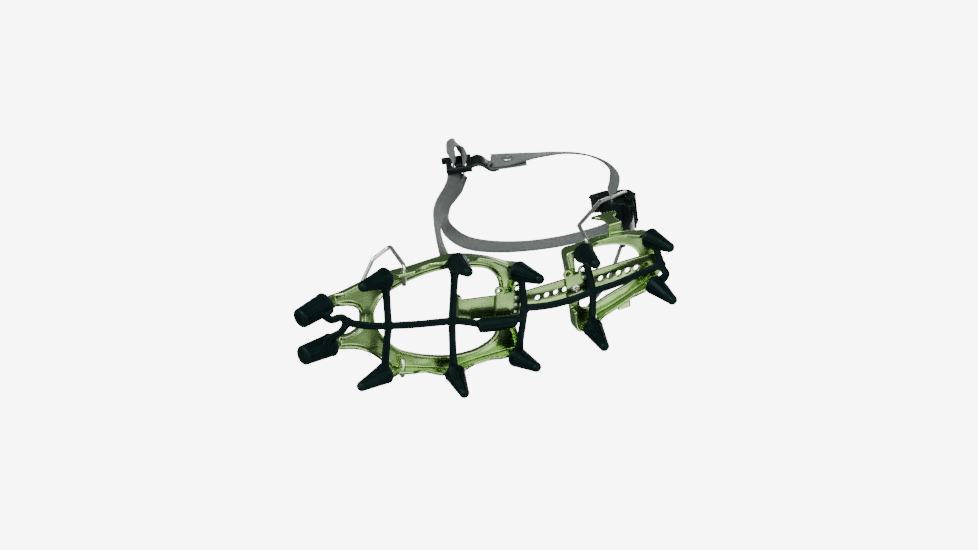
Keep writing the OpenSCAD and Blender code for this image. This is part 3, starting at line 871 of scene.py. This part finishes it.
# The stage is in metres
CAMERA_PLACE = Vector((0.4073, 0.5157, -1.0154))
CAMERA_RIGHT = Vector((-0.93754, 0.03346, -0.34628)).normalized()
CAMERA_UP = Vector((-0.11302, 0.91207, 0.39415)).normalized()
LENS_SHARE = 1500.17 / 978          # focal length over the picture's width
SENSOR = 36                         # millimetres
CLIP_NEAR, CLIP_FAR = 0.05, 100
FLOOR_HALF = 40                     # wide enough that the low views see no edge
FLOOR_GLOW = 1.1                    # keeps the floor pale where the lights under it don't reach
BRIGHT_SIDE = (0.45, 0.55, -0.70)   # the studio is brightest in this direction, on the camera's side
DARK_TONE = (0.12, 0.15, 0.13, 1)
BRIGHT_TONE = (0.95, 1.0, 0.97, 1)
BACKDROP_STRENGTH = 8               # white behind the object after the view transform


def camera():
    """The photograph's view is from below, so the points face the camera."""
    data = bpy.data.cameras.new("camera")
    data.sensor_width = SENSOR
    data.lens = SENSOR * LENS_SHARE
    data.clip_start, data.clip_end = CLIP_NEAR, CLIP_FAR
    seen_from = bpy.data.objects.new("camera", data)
    back = CAMERA_RIGHT.cross(CAMERA_UP)
    turn = Matrix((CAMERA_RIGHT, CAMERA_UP, back)).transposed()
    seen_from.matrix_world = Matrix.Translation(CAMERA_PLACE) @ turn.to_4x4()
    bpy.context.scene.collection.objects.link(seen_from)
    bpy.context.scene.camera = seen_from


def one_way_floor():
    """A pale floor under the points, seen only by the camera and only from above.

    The photograph is taken from below, and the metal shouldn't mirror the floor there.
    """
    low = cad_box[0].z
    corners = [(x * FLOOR_HALF, y * FLOOR_HALF, low) for x, y in ((-1, -1), (1, -1), (1, 1), (-1, 1))]
    mesh = bpy.data.meshes.new("floor")
    mesh.from_pydata(corners, [], [(0, 1, 2, 3)])
    floor = bpy.data.objects.new("floor", mesh)
    bpy.context.scene.collection.objects.link(floor)
    material = bpy.data.materials.new("floor_paper")
    material.use_nodes = True
    tree = material.node_tree
    paper = tree.nodes["Principled BSDF"]
    paper.inputs["Base Color"].default_value = (0.80, 0.80, 0.79, 1)
    paper.inputs["Roughness"].default_value = 0.7
    paper.inputs["Emission Color"].default_value = (0.95, 1.0, 0.98, 1)
    paper.inputs["Emission Strength"].default_value = FLOOR_GLOW
    below = new_node(tree, "ShaderNodeNewGeometry").outputs["Backfacing"]
    from_camera = new_node(tree, "ShaderNodeLightPath").outputs["Is Camera Ray"]
    clear = new_node(tree, "ShaderNodeBsdfTransparent").outputs[0]
    # 1 for a camera ray that meets the upper face, and 0 for every other ray
    shown = new_node(tree, "ShaderNodeMath", {0: from_camera, 1: below}, operation="GREATER_THAN")
    mix = new_node(tree, "ShaderNodeMixShader", {0: shown.outputs[0], 1: clear, 2: paper.outputs[0]})
    tree.links.new(mix.outputs[0], tree.nodes["Material Output"].inputs["Surface"])
    mesh.materials.append(material)


def surroundings():
    """White behind the object, which mirrors a studio that is bright on the camera's side."""
    world = bpy.data.worlds.new("studio")
    bpy.context.scene.world = world
    world.use_nodes = True
    tree = world.node_tree
    tree.nodes.clear()
    way = new_node(tree, "ShaderNodeTexCoord").outputs["Generated"]
    facing = new_node(tree, "ShaderNodeVectorMath", {0: way, 1: BRIGHT_SIDE}, operation="DOT_PRODUCT")
    fade = new_node(tree, "ShaderNodeMapRange",
                    {"Value": facing.outputs["Value"], "From Min": 0.12, "From Max": 0.95},
                    interpolation_type="SMOOTHSTEP")
    tone = new_node(tree, "ShaderNodeMix", {0: fade.outputs[0], 6: DARK_TONE, 7: BRIGHT_TONE},
                    data_type="RGBA")
    studio = new_node(tree, "ShaderNodeBackground", {"Color": tone.outputs[2]})
    plain = new_node(tree, "ShaderNodeBackground", {"Color": (1, 1, 1, 1), "Strength": BACKDROP_STRENGTH})
    from_camera = new_node(tree, "ShaderNodeLightPath").outputs["Is Camera Ray"]
    mix = new_node(tree, "ShaderNodeMixShader",
                   {0: from_camera, 1: studio.outputs[0], 2: plain.outputs[0]})
    new_node(tree, "ShaderNodeOutputWorld", {"Surface": mix.outputs[0]})


def softbox(name, direction, distance, size, energy):
    """A round area light shining at the object from that direction."""
    direction = Vector(direction)
    data = bpy.data.lights.new(name, "AREA")
    data.shape = "DISK"
    data.size = size
    data.energy = energy
    light = bpy.data.objects.new(name, data)
    middle = (cad_box[0] + cad_box[1]) / 2
    light.location = middle + direction.normalized() * distance
    light.rotation_mode = "QUATERNION"
    light.rotation_quaternion = direction.to_track_quat("Z", "Y")
    bpy.context.scene.collection.objects.link(light)


camera()
one_way_floor()
surroundings()
# Direction, distance and width in metres, and power in watts
for name, direction, distance, size, energy in (
    ("key", (-0.424, -0.564, -0.758), 1.036, 0.44, 1.7),     # mirrored by the flats of the near rails
    ("side", (-0.33, 0.41, -0.85), 1.2, 0.8, 4),             # mirrored by the walls that face +y
    ("fill", (0.88, 0.89, -0.42), 1.2, 0.6, 13),             # the webbing and the caps' sides
    ("rear", (-0.58, -0.30, 0.75), 1.2, 1.1, 9),             # rims of the wires
):
    softbox(name, direction, distance, size, energy)
